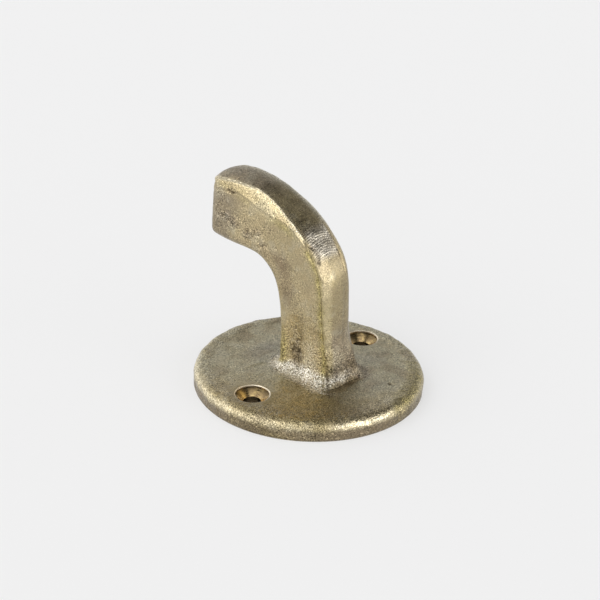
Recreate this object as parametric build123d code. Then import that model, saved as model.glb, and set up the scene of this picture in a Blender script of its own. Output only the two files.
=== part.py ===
from build123d import *
import math
import os

# Towel hook: a round back plate and a bent, round-edged arm, cast in one piece,
# with two countersunk screw holes drilled after casting.
#
# Frame (millimetres): the origin is the centre of the plate's back face.
# +Z points out of the wall, +Y is up the wall, the way the arm's end points,
# and +X runs along the line through the two screw holes.

# ---------------------------------------------------------------- dimensions
PLATE_DIAMETER = 55.0
PLATE_THICKNESS = 4.9
PLATE_FRONT_EDGE_RADIUS = 2.1
PLATE_BACK_EDGE_RADIUS = 0.5

HOLE_SPACING = 39.5            # between the two hole centres, along X
HOLE_DIAMETER = 4.1            # clearance for a 4 mm wood screw
HEAD_RECESS_DIAMETER = 8.1     # straight-walled mouth for the screw's head
HEAD_RECESS_DEPTH = 0.95
HEAD_CONE_ANGLE = 118.0        # included angle of the seat below the mouth
MOUTH_CHAMFER = 0.12

ARM_WIDTH_AT_PLATE = 9.6       # along X, at the plate's front face
ARM_WIDTH_AT_TOP = 11.8        # along X, at the arm's highest point
ARM_EDGE_RADIUS = 2.3          # the arm's long edges
FOOT_FILLET_RADIUS = 2.4       # between the arm and the plate
ARM_TOP = 47.8                 # highest point above the back face
TIP_LOWER_CORNER_RADIUS = 2.6
TIP_UPPER_CORNER_RADIUS = 3.6

# The arm's side view, in the YZ plane. The inner line is the side the towel
# hangs on; the outer line is the long convex side away from it.
INNER_LINE = [
    (6.05, 4.9), (5.92, 10.4), (5.95, 15.8), (6.28, 20.1), (7.16, 24.3),
    (9.05, 27.8), (12.1, 30.2), (16.0, 31.15), (20.6, 31.35), (24.8, 31.6),
]
TIP_LOWER_CORNER = (28.55, 32.2)
TIP_UPPER_CORNER = (28.2, 47.5)
OUTER_LINE = [
    (24.4, 47.7), (19.8, ARM_TOP), (12.9, 46.8), (6.7, 44.9), (1.2, 42.0),
    (-3.8, 37.9), (-7.2, 32.2), (-8.35, 25.6), (-8.9, 18.7), (-9.9, 11.9),
    (-10.9, 4.9),
]
FOOT_DEPTH_IN_PLATE = 2.5      # how far the arm's body reaches into the plate


# ---------------------------------------------------------------- back plate
def back_plate():
    """A flat round disc with a soft front rim and a broken back edge."""
    disc = Cylinder(
        PLATE_DIAMETER / 2, PLATE_THICKNESS,
        align=(Align.CENTER, Align.CENTER, Align.MIN),
    )
    rims = disc.edges().filter_by(GeomType.CIRCLE).sort_by(Axis.Z)
    disc = fillet([rims[-1]], PLATE_FRONT_EDGE_RADIUS)
    rims = disc.edges().filter_by(GeomType.CIRCLE).sort_by(Axis.Z)
    return fillet([rims[0]], PLATE_BACK_EDGE_RADIUS)


# ----------------------------------------------------------------------- arm
def arm_body():
    """The bent arm: its side view drawn in YZ, pushed out along X, tapered in
    width towards the plate, and rounded along its long edges."""
    foot = PLATE_THICKNESS - FOOT_DEPTH_IN_PLATE
    inner_foot = (INNER_LINE[0][0], foot)
    outer_foot = (OUTER_LINE[-1][0], foot)
    with BuildSketch(Plane.YZ) as side:
        with BuildLine():
            Line(outer_foot, inner_foot)
            Line(inner_foot, INNER_LINE[0])
            Spline(*INNER_LINE, TIP_LOWER_CORNER, tangents=[(0, 1), (1, 0.22)])
            Line(TIP_LOWER_CORNER, TIP_UPPER_CORNER)
            Spline(TIP_UPPER_CORNER, *OUTER_LINE, tangents=[(-1, 0.12), (-0.15, -1)])
            Line(OUTER_LINE[-1], outer_foot)
        make_face()
        for corner, radius in (
            (TIP_LOWER_CORNER, TIP_LOWER_CORNER_RADIUS),
            (TIP_UPPER_CORNER, TIP_UPPER_CORNER_RADIUS),
        ):
            fillet(side.vertices().sort_by_distance((*corner, 0))[0], radius)
    slab = extrude(side.sketch, ARM_WIDTH_AT_TOP, both=True)

    # width as a function of height above the plate: a trapezium seen along Y
    grow = (ARM_WIDTH_AT_TOP - ARM_WIDTH_AT_PLATE) / (ARM_TOP - PLATE_THICKNESS)
    low = ARM_WIDTH_AT_PLATE - grow * FOOT_DEPTH_IN_PLATE
    with BuildSketch(Plane.XZ) as front:
        Polygon(
            (-low / 2, foot), (low / 2, foot),
            (ARM_WIDTH_AT_TOP / 2, ARM_TOP + 1), (-ARM_WIDTH_AT_TOP / 2, ARM_TOP + 1),
            align=None,
        )
    wedge = extrude(front.sketch, 60, both=True)
    arm = slab & wedge

    # round every edge that bounds the two side faces, above the plate's inside
    long_edges = [
        e for e in arm.edges()
        if e.center().Z > PLATE_THICKNESS + 0.2 and abs(e.center().X) > 2.0
    ]
    return fillet(long_edges, ARM_EDGE_RADIUS)


# --------------------------------------------------------------- screw holes
def screw_hole(x):
    """What the drill and countersink take away at one hole."""
    r = HOLE_DIAMETER / 2
    head = HEAD_RECESS_DIAMETER / 2
    seat = (head - r) / math.tan(math.radians(HEAD_CONE_ANGLE / 2))
    top = PLATE_THICKNESS
    with BuildSketch(Plane.XZ) as half:
        Polygon(
            (0, -1.0), (r, -1.0),
            (r, top - HEAD_RECESS_DEPTH - seat), (head, top - HEAD_RECESS_DEPTH),
            (head, top - MOUTH_CHAMFER), (head + MOUTH_CHAMFER, top),
            (head + MOUTH_CHAMFER, top + 1.0), (0, top + 1.0),
            align=None,
        )
    return Pos(x, 0, 0) * revolve(half.sketch, Axis.Z)


# ------------------------------------------------------------------- casting
def hook():
    body = back_plate() + arm_body()
    foot_edges = [
        e for e in body.edges()
        if abs(e.center().Z - PLATE_THICKNESS) < 0.02
        and math.hypot(e.center().X, e.center().Y) < 0.35 * PLATE_DIAMETER
        and abs(e.bounding_box().size.Z) < 0.02
        and e.length < 20
    ]
    body = fillet(foot_edges, FOOT_FILLET_RADIUS)
    for x in (-HOLE_SPACING / 2, HOLE_SPACING / 2):
        body = body - screw_hole(x)
    return body


os.makedirs("parts", exist_ok=True)
casting = hook()
if isinstance(casting, (list, ShapeList)):
    casting = casting[0]
solids = casting.solids()
print("solids", len(solids), "volume", round(sum(s.volume for s in solids), 1))
box = casting.bounding_box()
print("box", box.min, box.max)
casting.label = "hook"
export_step(casting, "parts/hook.step")
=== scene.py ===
import math

import bpy
import numpy as np
from mathutils import Matrix, Vector, kdtree


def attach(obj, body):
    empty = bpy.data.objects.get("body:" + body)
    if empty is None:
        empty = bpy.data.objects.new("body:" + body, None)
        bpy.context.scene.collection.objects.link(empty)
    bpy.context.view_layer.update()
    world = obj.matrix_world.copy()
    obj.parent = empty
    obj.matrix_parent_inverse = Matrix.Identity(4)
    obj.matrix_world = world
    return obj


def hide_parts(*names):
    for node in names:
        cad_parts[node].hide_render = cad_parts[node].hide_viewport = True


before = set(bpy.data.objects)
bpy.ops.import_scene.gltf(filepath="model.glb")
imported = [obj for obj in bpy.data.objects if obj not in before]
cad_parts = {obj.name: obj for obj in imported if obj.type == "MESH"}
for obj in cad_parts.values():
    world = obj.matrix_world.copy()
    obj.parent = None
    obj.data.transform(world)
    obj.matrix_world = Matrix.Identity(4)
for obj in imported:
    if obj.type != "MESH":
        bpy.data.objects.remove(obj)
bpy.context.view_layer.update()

# =====================================================================
# Towel hook, as cast: one sculpted skin for the whole casting, then the two
# screw holes are drilled through it.
# Lengths below are millimetres in the part's own frame: origin at the centre
# of the plate's back face, +X along the screw holes, +Y the way the arm's end
# points, +Z out of the wall. They turn into metres when the mesh is made.
# =====================================================================

PLATE_R = 27.5
PLATE_T = 4.9
FRONT_EDGE = 2.1
BACK_EDGE = 0.5
HOLE_X = 19.75

# side view of the arm: matching points of its inner and outer lines
ARM_INNER = np.array([
    (6.02, 4.9), (5.92, 10.4), (5.95, 15.85), (6.28, 20.1), (7.16, 24.35),
    (9.01, 27.85), (12.07, 30.25), (16.02, 31.15), (20.64, 31.3),
    (24.78, 31.55), (28.30, 32.0)])
ARM_OUTER = np.array([
    (-10.80, 4.9), (-9.92, 11.88), (-8.87, 18.71), (-8.29, 25.6),
    (-7.18, 32.2), (-3.72, 37.75), (1.22, 42.0), (6.7, 44.9),
    (12.86, 46.9), (19.79, 47.95), (27.2, 47.6)])
TIP_Y = 28.3
CAP = 2.9                     # how far before the tip its rounding begins

# ------------------------------------------------------------ small maths


def cubic(t, y, tq):
    """Natural cubic spline through the rows of y at t."""
    n = len(t)
    h = np.diff(t)
    A = np.eye(n)
    B = np.zeros((n,) + y.shape[1:])
    for i in range(1, n - 1):
        A[i, i - 1], A[i, i], A[i, i + 1] = h[i - 1], 2 * (h[i - 1] + h[i]), h[i]
        B[i] = 6 * ((y[i + 1] - y[i]) / h[i] - (y[i] - y[i - 1]) / h[i - 1])
    M = np.linalg.solve(A, B)
    k = np.clip(np.searchsorted(t, tq) - 1, 0, n - 2)
    hk = h[k][:, None]
    a = (t[k + 1] - tq)[:, None]
    b = (tq - t[k])[:, None]
    return (M[k] * a ** 3 / (6 * hk) + M[k + 1] * b ** 3 / (6 * hk)
            + (y[k] / hk - M[k] * hk / 6) * a + (y[k + 1] / hk - M[k + 1] * hk / 6) * b)


def sstep(a, b, x):
    t = np.clip((x - a) / (b - a), 0, 1)
    return t * t * (3 - 2 * t)


def bump(x, c, w):
    """1 at c, falling smoothly to 0 at a distance w."""
    t = np.clip(1 - ((x - c) / w) ** 2, 0, 1)
    return t * t


def blob(a, b, ca, cb, ra, rb=None):
    """A soft round patch, 1 at its centre, 0 outside its radii."""
    rb = ra if rb is None else rb
    t = np.clip(1 - ((a - ca) / ra) ** 2 - ((b - cb) / rb) ** 2, 0, 1)
    return t * t


def off_line(a, b, pts):
    """Distance of the points (a, b) from a broken line, and how far along it (0 to 1)."""
    best = np.full(np.shape(a), 1e9)
    where = np.zeros(np.shape(a))
    n = len(pts) - 1
    for k in range(n):
        (a0, b0), (a1, b1) = pts[k], pts[k + 1]
        da, db = a1 - a0, b1 - b0
        t = np.clip(((a - a0) * da + (b - b0) * db) / (da * da + db * db), 0, 1)
        d = np.hypot(a - a0 - t * da, b - b0 - t * db)
        where = np.where(d < best, (k + t) / n, where)
        best = np.minimum(best, d)
    return best, where


TABLE = {}


def vnoise(P, scale, seed):
    """Smooth value noise, -1 to 1, with features about `scale` mm across."""
    if seed not in TABLE:
        TABLE[seed] = np.random.RandomState(seed).rand(32, 32, 32) * 2 - 1
    T = TABLE[seed]
    q = P / scale + 100.0 + seed * 0.37
    i = np.floor(q).astype(int)
    f = q - i
    f = f * f * f * (f * (f * 6 - 15) + 10)
    i &= 31
    j = (i + 1) & 31
    x0, y0, z0 = i[..., 0], i[..., 1], i[..., 2]
    x1, y1, z1 = j[..., 0], j[..., 1], j[..., 2]
    fx, fy, fz = f[..., 0], f[..., 1], f[..., 2]
    c00 = T[x0, y0, z0] * (1 - fx) + T[x1, y0, z0] * fx
    c10 = T[x0, y1, z0] * (1 - fx) + T[x1, y1, z0] * fx
    c01 = T[x0, y0, z1] * (1 - fx) + T[x1, y0, z1] * fx
    c11 = T[x0, y1, z1] * (1 - fx) + T[x1, y1, z1] * fx
    return (c00 * (1 - fy) + c10 * fy) * (1 - fz) + (c01 * (1 - fy) + c11 * fy) * fz


def fbm(P, scale, seed, octaves=3, gain=0.5):
    out, amp, tot = 0.0, 1.0, 0.0
    for o in range(octaves):
        out = out + amp * vnoise(P, scale / 2 ** o, seed + 7 * o)
        tot += amp
        amp *= gain
    return out / tot


# ------------------------------------------------------------ arm stations
_p = np.linspace(0, 1, len(ARM_INNER))
_pp = np.linspace(0, 1, 1200)
_IO = cubic(_p, np.c_[ARM_INNER, ARM_OUTER], _pp)
_C = (_IO[:, :2] + _IO[:, 2:]) / 2
_S = np.r_[0, np.cumsum(np.linalg.norm(np.diff(_C, axis=0), axis=1))]
_E = _IO[:, 2:] - _IO[:, :2]
_T = np.linalg.norm(_E, axis=1)
_E = _E / _T[:, None]
S_END = float(np.interp(TIP_Y - CAP, _C[:, 0][_S > 30], _S[_S > 30]))


def station(s):
    """Centre (y, z), outward direction (y, z) and half thickness at arclength s."""
    c = np.stack([np.interp(s, _S, _C[:, 0]), np.interp(s, _S, _C[:, 1])], -1)
    e = np.stack([np.interp(s, _S, _E[:, 0]), np.interp(s, _S, _E[:, 1])], -1)
    e /= np.linalg.norm(e, axis=-1, keepdims=True)
    return c, e, np.interp(s, _S, _T) / 2


def table(s, rows):
    r = np.array(rows, float)
    return [np.interp(s, r[:, 0], r[:, k]) for k in range(1, r.shape[1])]


# what changes along the arm: s, half width, corner radii (near-outer A,
# far-outer B, near-inner C, far-inner D), crown of the outer side
ALONG = [
    #  s     h     rA    rB    rC    rD   crown
    (0.0,  4.85, 0.60, 2.40, 1.90, 2.2, 0.70),
    (4.0,  4.90, 0.50, 2.40, 1.80, 2.2, 0.80),
    (12.0, 5.05, 0.40, 2.50, 1.70, 2.2, 0.90),
    (20.0, 5.25, 0.40, 2.60, 1.80, 2.2, 0.90),
    (25.0, 5.40, 0.40, 2.70, 2.00, 2.2, 0.90),
    (29.0, 5.50, 0.40, 2.80, 2.10, 2.3, 0.90),
    (31.0, 5.54, 0.35, 2.85, 2.10, 2.3, 0.95),
    (34.0, 5.60, 0.35, 2.90, 2.10, 2.3, 0.85),
    (42.0, 5.75, 0.35, 3.00, 2.10, 2.4, 0.85),
    (50.0, 5.85, 0.40, 3.10, 2.10, 2.5, 1.05),
    (56.0, 5.90, 0.50, 3.20, 2.10, 2.5, 1.25),
]
# the bevel on the stem's near outer edge, and the rubbed chamfer along the upper
# arm's near edge: s, reach over the outer side, reach down the near side
CHAMFER = [
    (0, 1.6, 0.9), (4.0, 2.2, 1.0), (10.0, 2.7, 0.9), (16.0, 3.0, 0.95), (21.0, 3.3, 1.15),
    (25.0, 3.6, 1.15), (27.0, 3.3, 1.0), (28.5, 1.6, 0.75), (30.0, 0.7, 0.55),
    (31.5, 0.55, 0.70), (33.2, 0.50, 0.85),
    (35.0, 0.55, 1.10), (36.4, 0.68, 1.45), (37.6, 0.90, 1.90), (39.0, 1.18, 2.70),
    (41.2, 1.55, 3.20), (43.5, 1.85, 3.15), (45.7, 1.65, 2.80), (47.6, 1.15, 2.45),
    (49.2, 0.85, 2.20), (51.5, 0.60, 2.10), (54.5, 0.50, 2.35), (60.0, 0.50, 2.35),
]

N_IN, N_D, N_FAR, N_B, N_OUT, N_A, N_NEAR, N_C = 40, 18, 56, 24, 56, 6, 74, 18
N = N_IN + N_D + N_FAR + N_B + N_OUT + N_A + N_NEAR + N_C


def outline(h, vin, vout, rA, rB, rC, rD):
    """The arm's cross-section: arrays (K, N) of x, v and the outline's normal.
    Each argument has shape (K, N) or (K, 1). v runs from the inner side (-)
    to the outer side (+)."""
    h, vin, vout, rA, rB, rC, rD = [np.broadcast_to(q, (h.shape[0], N)) for q in (h, vin, vout, rA, rB, rC, rD)]
    x = np.empty(h.shape)
    v = np.empty(h.shape)
    nx = np.empty(h.shape)
    nv = np.empty(h.shape)
    k = 0

    def line(n, x0, v0, x1, v1, ax, av):
        nonlocal k
        t = (np.arange(n) / n)[None, :]
        sl = slice(k, k + n)
        x[:, sl] = x0[:, sl] * (1 - t) + x1[:, sl] * t
        v[:, sl] = v0[:, sl] * (1 - t) + v1[:, sl] * t
        nx[:, sl] = ax
        nv[:, sl] = av
        k += n

    def arc(n, cx, cv, r, a0):
        nonlocal k
        a = np.radians(a0 + 90 * np.arange(n) / n)[None, :]
        sl = slice(k, k + n)
        x[:, sl] = cx[:, sl] + r[:, sl] * np.cos(a)
        v[:, sl] = cv[:, sl] + r[:, sl] * np.sin(a)
        nx[:, sl] = np.cos(a)
        nv[:, sl] = np.sin(a)
        k += n

    line(N_IN, -(h - rC), vin, h - rD, vin, 0, -1)
    arc(N_D, h - rD, vin + rD, rD, -90)
    line(N_FAR, h, vin + rD, h, vout - rB, 1, 0)
    arc(N_B, h - rB, vout - rB, rB, 0)
    line(N_OUT, h - rB, vout, -(h - rA), vout, 0, 1)
    arc(N_A, -h + rA, vout - rA, rA, 90)
    line(N_NEAR, -h, vout - rA, -h, vin + rC, -1, 0)
    arc(N_C, -h + rC, vin + rC, rC, 180)
    return x, v, nx, nv


def section(s, e_side=0.0, e_in=0.0, e_out=0.0):
    """Cross-section points at arclength s (K, N), inset by the given amounts."""
    h, rA, rB, rC, rD, crown = table(s, ALONG)
    ch_a, ch_b = table(s, CHAMFER)
    hand = sstep(28.0, 33.0, s)
    wob = np.sin(s * 1.13 + 0.6) * 0.5 + hand * (np.sin(s * 2.9 + 2.0) * 0.3 + np.sin(s * 5.3) * 0.15)
    wob2 = np.sin(s * 0.83 + 2.6) * 0.5 + hand * (np.sin(s * 2.3 + 1.0) * 0.35 + np.sin(s * 4.7) * 0.2)
    ch_a = ch_a * (1 + 0.05 * wob)
    ch_b = ch_b * (1 + (0.08 - 0.02 * hand) * wob2)
    c, e, half = station(s)
    h = h - e_side
    vin, vout = -half + e_in, half - e_out
    lim = 0.35
    x, v, nx, nv = outline(
        h, vin, vout, np.maximum(rA - e_side * 0.2, lim), np.maximum(rB - e_side, lim),
        np.maximum(rC - e_side, lim), np.maximum(rD - e_side, lim))
    # crown: the outer side falls away towards both long edges
    u = np.clip(x / h, -1, 1)
    fade = np.clip((v - (vout - 4.5)) / 4.5, 0, 1)
    v = v - crown * np.abs(u) ** 2.1 * fade
    # chamfer: push what stands past the plane back onto it
    top = vout - crown * (1 - np.clip(ch_a / h, 0, 1)) ** 2.1
    g = np.sqrt(ch_a ** 2 + ch_b ** 2) + 1e-9
    mx, mv = -ch_b / g, ch_a / g
    d = (x + h - ch_a) * mx + (v - top) * mv
    d = np.where((d > 0) & (ch_a > 0.02), d, 0)
    cut = d
    x = x - d * mx
    v = v - d * mv
    crease = np.hypot(x + h, v - (top - ch_b))
    ridge = np.hypot(x + h - ch_a, v - top)
    cut = np.stack([np.broadcast_to(q, x.shape) for q in (cut, crease, ridge)], -1)
    P = np.empty(x.shape + (3,))
    P[..., 0] = x
    P[..., 1] = c[..., 0] + v * e[..., 0]
    P[..., 2] = c[..., 1] + v * e[..., 1]
    return P, x, v, nx, nv, cut, half


# ------------------------------------------------------------ the skin
# It is one sheet of loops: end face, arm, fillet, plate, rim, back.
rows, tag_s, tag_zone, tag_cut = [], [], [], []
NO_CUT = np.array([0.0, 9.0, 9.0])    # depth of chamfer, distance to its lower and upper line


def add(P, s, zone, cut=None):
    rows.append(P)
    tag_cut.append(np.broadcast_to(NO_CUT, P.shape) if cut is None else cut)
    tag_s.append(np.broadcast_to(s, P.shape[:2]))
    tag_zone.append(np.full(P.shape[:2], zone, float))


# fillet radius around the foot, by outline index
_j = np.arange(N)
_probe = section(np.full((1, N), 2.0))
_nx, _nv = _probe[3][0], _probe[4][0]
_mid = np.clip(1 - (np.interp(_j, _j, _probe[2][0]) / 8.0) ** 2, 0, 1)
R_FIL = (2.3 + 0.9 * np.clip(_nx, 0, 1) + 1.2 * np.clip(-_nx, 0, 1) * _mid + 0.3 * np.clip(_nv, 0, 1) ** 2
         + 2.6 * np.clip(_nx, 0, 1) * np.clip(_nv, 0, 1)
         + 1.7 * bump(_j, N_IN + N_D + N_FAR + N_B + N_OUT + 3, 30))
for _ in range(6):
    R_FIL = (np.roll(R_FIL, 1) + 2 * R_FIL + np.roll(R_FIL, -1)) / 4

# 1. end face, centre outwards, then its rounded border
cap_loops, cap_cut = [], []
s_end = np.full((1, N), S_END)
base, bx, bv, _, _, _, bhalf = section(s_end)
K_FACE, K_ROUND = 15, 11
bend = TIP_Y - base[..., 1]
for i in range(K_FACE + K_ROUND):
    if i < K_FACE:
        scale = (i + 0.02) / K_FACE
        al = math.pi / 2
    else:
        scale = 1.0
        al = math.pi / 2 * (1 - (i - K_FACE) / K_ROUND)
    k = 1 - math.cos(al)
    P, x, v, _, _, cc, _ = section(s_end, 2.3 * k, 3.0 * k, 3.1 * k)
    cap_cut.append(cc * np.array([scale ** 6, 1, 1]) + np.array([0, 6, 6]) * (1 - scale))
    mid = P.mean(axis=1, keepdims=True)
    P = mid + (P - mid) * scale
    lin = np.interp(P[0, :, 2], [31.6, 47.6], [TIP_Y + 0.10, TIP_Y + 0.10])
    P[..., 1] = P[..., 1] * (1 - math.sin(al)) + lin * math.sin(al) + 0.22 * (1 - scale ** 2)
    cap_loops.append(P)
add(np.concatenate(cap_loops), S_END + 2.0, 0, np.concatenate(cap_cut))

# 2. the arm, tip to foot
K_ARM = 186
s_arm = np.linspace(S_END, 0, K_ARM + 1)[:, None]
low = np.clip(1 - s_arm / 9.0, 0, 1)
s_arm = s_arm + low * R_FIL[None, :]
s_arm = s_arm[1:]
P, ax_, av_, anx, anv, acut, ahalf = section(s_arm)
add(P, s_arm, 1, acut)

# 3. the fillet
K_FIL = 12
be = np.radians(np.linspace(0, 90, K_FIL + 1)[1:])[:, None]
s_fil = R_FIL[None, :] * (1 - np.sin(be))
Pf, fx, fv, fnx, fnv, fcut, _ = section(s_fil)
off = R_FIL[None, :] * (1 - np.cos(be))
Pf[..., 0] += off * fnx
Pf[..., 1] -= off * fnv
Pf[..., 2] = PLATE_T + s_fil
add(Pf, s_fil, 2, fcut)

# 4. the plate's front, rim, edge and back
foot = Pf[-1]
R_FLAT = PLATE_R - FRONT_EDGE
own = np.unwrap(np.arctan2(foot[:, 1] + 2.4, foot[:, 0]))
uni = own[0] - 2 * np.pi * _j / N
shift = (own - uni).mean()
theta = 0.25 * own + 0.75 * (uni + shift)
circle = np.stack([np.cos(theta), np.sin(theta)], -1)
K_TOP = 46
tt = np.linspace(0, 1, K_TOP + 1)[1:]
b = (0.55 * tt + 0.45 * tt ** 2)[:, None, None]
Pt = np.empty((K_TOP, N, 3))
Pt[..., :2] = (1 - b) * foot[None, :, :2] + b * (circle * R_FLAT)[None]
Pt[..., 2] = PLATE_T
add(Pt, 0.0, 3)

prof = []
K_RIM = 12
for i in range(1, K_RIM + 1):
    a = math.pi / 2 * i / K_RIM
    prof.append((R_FLAT + FRONT_EDGE * math.sin(a), PLATE_T - FRONT_EDGE * (1 - math.cos(a)), 4))
for i in range(1, 7):
    prof.append((PLATE_R, PLATE_T - FRONT_EDGE - (PLATE_T - FRONT_EDGE - BACK_EDGE) * i / 6, 4))
for i in range(1, 5):
    a = math.pi / 2 * i / 4
    prof.append((PLATE_R - BACK_EDGE * (1 - math.cos(a)), BACK_EDGE * (1 - math.sin(a)), 5))
for i in range(1, 13):
    prof.append(((PLATE_R - BACK_EDGE) * (1 - i / 12.0) + 0.05 * i / 12.0, 0.0, 6))
Pr = np.empty((len(prof), N, 3))
zr = np.empty((len(prof), N))
for i, (r, z, zone) in enumerate(prof):
    Pr[i, :, :2] = circle * r
    Pr[i, :, 2] = z
    zr[i] = zone
rows.append(Pr)
tag_s.append(np.zeros((len(prof), N)))
tag_cut.append(np.broadcast_to(NO_CUT, Pr.shape))
tag_zone.append(zr)

G = np.concatenate(rows)              # (K, N, 3) grid of points
SS = np.concatenate(tag_s)
ZONE = np.concatenate(tag_zone)
CUT = np.concatenate(tag_cut)
K = len(G)


def normals(G):
    du = np.roll(G, -1, 1) - np.roll(G, 1, 1)
    dk = np.empty_like(G)
    dk[1:-1] = G[2:] - G[:-2]
    dk[0] = G[1] - G[0]
    dk[-1] = G[-1] - G[-2]
    n = np.cross(dk, du)
    n /= np.linalg.norm(n, axis=-1, keepdims=True) + 1e-12
    return n


Nn = normals(G)
_c = np.array([0.0, 0.0, 0.0])
if (Nn[K - 3, :, 2]).mean() > 0:      # the back must face down
    Nn = -Nn
    FLIP = True
else:
    FLIP = False

# ------------------------------------------------------------ sculpting
x, y, z = G[..., 0], G[..., 1], G[..., 2]
near = np.clip((-Nn[..., 0] - 0.35) / 0.45, 0, 1)           # the side the photo sees
arm = (ZONE <= 2).astype(float)
arm = np.where(ZONE == 2, sstep(0.0, 0.6, (z - PLATE_T)), arm)
plate = (ZONE == 3).astype(float)
rim = np.where(ZONE == 4, 1.0, np.where(ZONE == 5, 0.5, 0.0))
back = (ZONE >= 6).astype(float)
H = table(SS, ALONG)[0]
_cc, _ee, HALF = station(SS)
V = (y - _cc[..., 0]) * _ee[..., 0] + (z - _cc[..., 1]) * _ee[..., 1]
below = HALF - V                                            # mm inside the outer line
outer = arm * np.clip((Nn[..., 1] * _ee[..., 0] + Nn[..., 2] * _ee[..., 1] - 0.45) / 0.4, 0, 1)
rad = np.hypot(x, y)
depth, d_low, d_up = CUT[..., 0], CUT[..., 1], CUT[..., 2]
n_big, n_mid = fbm(G, 9.0, 3, 2), fbm(G, 3.2, 11, 2)
n_small, n_fine = fbm(G, 1.25, 23, 2), vnoise(G, 0.62, 57)
on_cham = sstep(0.02, 0.16, depth) * arm
upper_cham = on_cham * sstep(29.0, 32.0, SS)
stem_cham = on_cham * (1 - sstep(27.0, 30.0, SS))

disp = np.zeros(G.shape[:2])

# broad unevenness of the sand mould
soft = 1 - back - 0.5 * (ZONE == 5)
disp += soft * (0.15 * n_big + 0.07 * n_mid) * (0.55 + 0.45 * arm)
disp += soft * 0.022 * n_small
facing_out = Nn[..., 1] * _ee[..., 0] + Nn[..., 2] * _ee[..., 1]
disp += arm * (0.22 * np.clip(facing_out, 0, 1) * sstep(6, 16, SS) - 0.18 * np.clip(-facing_out, 0, 1))
disp += 0.42 * arm * np.clip(facing_out, 0, 1) * sstep(38, 52, SS)
disp -= 0.26 * arm * np.clip(-facing_out, 0, 1) * bump(z, 14.5, 4.0)
flare = np.clip(0.655 * Nn[..., 0] - 0.755 * Nn[..., 1], 0, 1) ** 1.6 * sstep(-3.5, 3.0, x)
disp += 1.35 * arm * flare * sstep(17.0, 5.5, z)            # the stem widens towards its foot

# the near side: a shallow hollow up the stem beside a raised border, a small crack,
# and a slight dish between the borders further up
climb = sstep(5.6, 7.8, z) * (1 - sstep(13.0, 22.0, z))
hollow = near * arm * bump(y, -0.25 + 0.02 * z, 2.7) * climb
disp -= hollow * (0.62 + 0.16 * vnoise(G, 0.95, 41))
border = near * arm * bump(y, 3.9, 2.4) * (1 - sstep(15, 23, z))
disp += 0.34 * border
disp += 0.20 * near * arm * bump(y, -4.4, 2.8) * sstep(4.6, 7.0, z) * (1 - sstep(15.0, 22.0, z))
disp -= near * arm * 0.24 * bump(SS, 30, 20) * bump(V, 0.0, 7.5)
dc, tc = off_line(y, z, [(0.9, 12.7), (0.1, 13.15), (-0.7, 13.2), (-1.4, 13.75)])
crack = near * arm * bump(dc, 0, 0.34) * np.sin(np.pi * np.clip(tc, 0.05, 0.95))
disp -= 0.20 * crack
disp += near * arm * 0.10 * bump(off_line(y, z, [(0.6, 12.2), (-1.2, 12.9)])[0], 0, 0.55)
_fis = sstep(0.10, 0.42, vnoise(G * np.array([1.0, 1.0, 0.50]), 0.62, 167))
fissure = near * arm * _fis * bump(y, 0.3 - 0.10 * (z - 8.0), 2.1) * bump(z, 10.2, 3.9)
disp -= 0.26 * fissure
scab = near * arm * np.maximum(blob(y, z, -1.1, 9.6, 1.3, 2.6), 0.8 * blob(y, z, -2.6, 7.2, 2.0, 1.6))
disp -= scab * 0.15 * np.clip(vnoise(G, 0.7, 43) + 0.15, 0, 1)

# pitted patches on the near side of the upper arm
patch = near * arm * np.clip(
    blob(y, z, 23.4, 38.3, 2.6, 1.9) + blob(y, z, 20.0, 37.3, 2.9, 1.9) + 0.9 * blob(y, z, 15.6, 35.6, 3.0, 2.2)
    + 0.8 * blob(y, z, 12.6, 36.9, 2.4, 1.6) + 0.7 * blob(y, z, 11.0, 34.2, 2.0, 1.7)
    + 0.5 * blob(y, z, 24.6, 41.2, 1.8, 2.2), 0, 1)
_pn = vnoise(G, 0.64, 61)
disp -= patch * (0.38 * sstep(0.05, 0.6, _pn) - 0.12 * sstep(0.1, 0.6, -_pn))
disp += patch * 0.05 * n_fine

# single pits
pit = near * arm * np.clip(
    2.4 * bump(np.hypot(y - 21.85, z - 44.80), 0, 0.55) + 2.0 * bump(np.hypot(y - 20.95, z - 44.45), 0, 0.45)
    + 1.4 * bump(np.hypot(y - 20.35, z - 44.75), 0, 0.42) + 0.7 * bump(np.hypot(y - 6.9, z - 34.6), 0, 0.45), 0, 1)
disp -= 0.42 * pit
_r = np.hypot(y - 1.42, (z - 30.37) * 0.9)
disp += near * arm * (0.05 * bump(_r, 0.62, 0.30) - 0.12 * bump(_r, 0, 0.50))

# the near upper edge: filed by hand, so its facet is not one plane
disp += upper_cham * (0.07 * vnoise(G, 2.6, 71) + 0.03 * vnoise(G, 1.1, 73) + 0.010 * n_fine - 0.02)
low_lip = near * arm * sstep(31, 35, SS) * bump(d_low, 0.0, 1.3) * (1 - on_cham)
disp -= 0.07 * low_lip
disp += 0.05 * arm * sstep(31, 34, SS) * bump(d_up, 0, 0.35)

# the stem's near edge: a wandering crease, deepest at the top and at the foot
_w = 0.42 + 0.14 * np.sin(z * 0.9) + 0.10 * np.sin(z * 2.3 + 1.0)
in_stem = sstep(-0.5, 1.5, SS) * (1 - sstep(28.0, 30.0, SS))
crease = arm * in_stem * bump(d_low, 0.0, 2.1 * _w)
disp -= crease * (0.26 + 0.05 * np.sin(z * 1.7) + 0.08 * sstep(20, 25, SS) + 0.08 * (1 - sstep(2.0, 7.0, SS)))
disp += 0.10 * near * arm * in_stem * bump(below, 3.4, 1.7)
disp += stem_cham * 0.02 * vnoise(G, 2.4, 83)

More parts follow.
